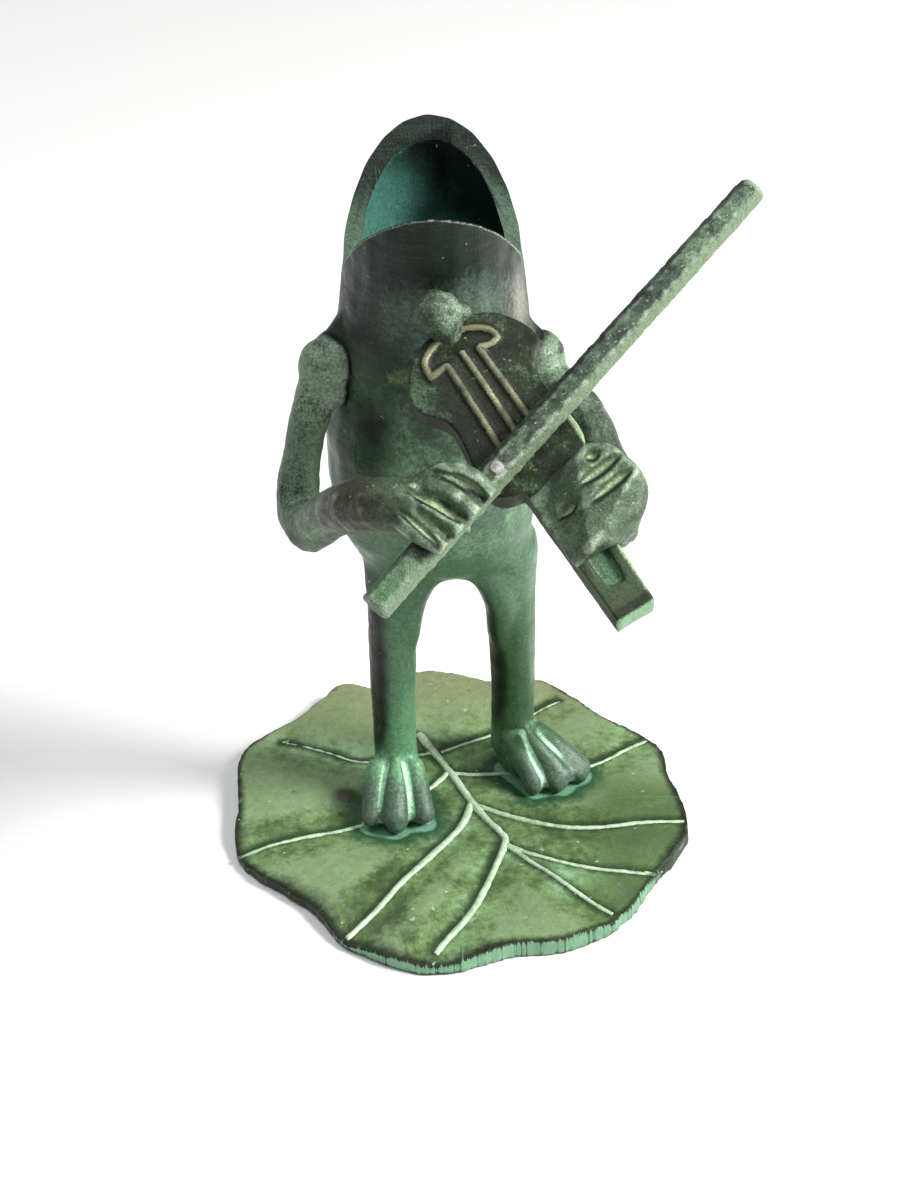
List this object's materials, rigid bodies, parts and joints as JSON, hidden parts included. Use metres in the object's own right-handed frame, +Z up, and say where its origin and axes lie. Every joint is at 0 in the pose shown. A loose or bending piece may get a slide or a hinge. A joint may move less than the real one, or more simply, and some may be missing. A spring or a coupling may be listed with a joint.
{
  "type": "frog violinist figurine",
  "caption": "Standing cast-bronze frog with a hollow body and wide-open mouth, playing a violin with a bow on a round lily-pad base.",
  "frame": {"origin": "middle of the lily pad's flat underside, which rests on a table", "axes": "+Z up the figure, the frog faces -Y, +X towards the frog's left, where the violin's neck points"},
  "size_m": [0.1789, 0.1881, 0.2574],
  "materials": {
    "figure_bronze": "dark green verdigris patina, satin",
    "leaf_bronze": "mottled olive and mint verdigris patina, satin",
    "violin_bronze": "dark olive patina with pale rubbed ridges",
    "bow_bronze": "speckled grey-green patina",
    "fixing_steel": "zinc plated"
  },
  "bodies": {
    "root": {"lily_pad_base": "leaf_bronze", "body_casting": "figure_bronze", "right_arm_casting": "figure_bronze", "left_arm_casting": "figure_bronze", "violin_casting": "violin_bronze", "bow_casting": "bow_bronze", "violin_stud": "figure_bronze", "stud_washer": "fixing_steel", "stud_nut": "fixing_steel", "right_shoulder_pin": "fixing_steel", "left_shoulder_pin": "fixing_steel", "bow_rivet": "fixing_steel", "neck_pin": "fixing_steel", "right_foot_screw": "fixing_steel", "right_foot_washer": "fixing_steel", "left_foot_screw": "fixing_steel", "left_foot_washer": "fixing_steel"}
  },
  "joints": []
}
